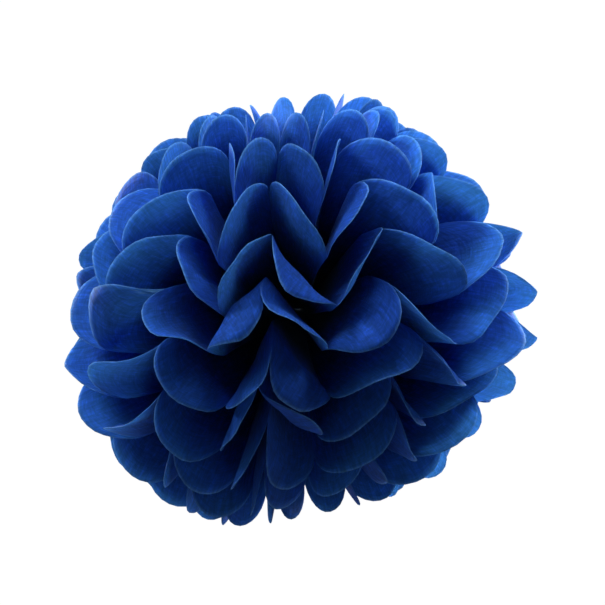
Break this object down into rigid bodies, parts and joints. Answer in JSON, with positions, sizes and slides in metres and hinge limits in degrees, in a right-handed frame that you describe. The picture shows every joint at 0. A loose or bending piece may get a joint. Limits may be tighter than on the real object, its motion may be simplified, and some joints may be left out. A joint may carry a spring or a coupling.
{
  "type": "tissue paper pom pom",
  "caption": "Round hanging pom pom of pleated blue tissue paper, tied at the middle with wire, its scalloped petals pulled apart up and down into a ball.",
  "frame": {"origin": "the middle of the wire tie at the centre of the ball, where the hanging thread is tied on", "axes": "+Z is the upright axis that the petals open round, the ball's shortest way and the way it hangs; +Y runs along the strips of paper; +X runs across the pleats in the tie, the ball's widest way"},
  "size_m": [0.2493, 0.2479, 0.2304],
  "materials": {
    "blue_tissue": "matt blue tissue paper that lets light through, with fine fibre streaks",
    "tie_wire": "plain drawn florist wire"
  },
  "bodies": {
    "root": {"tissue_sheet_01": "blue_tissue", "tissue_sheet_02": "blue_tissue", "tissue_sheet_03": "blue_tissue", "tissue_sheet_04": "blue_tissue", "tissue_sheet_05": "blue_tissue", "tissue_sheet_06": "blue_tissue", "tissue_sheet_07": "blue_tissue", "tissue_sheet_08": "blue_tissue", "tissue_sheet_09": "blue_tissue", "tissue_sheet_10": "blue_tissue", "tie_wire": "tie_wire"}
  },
  "joints": []
}
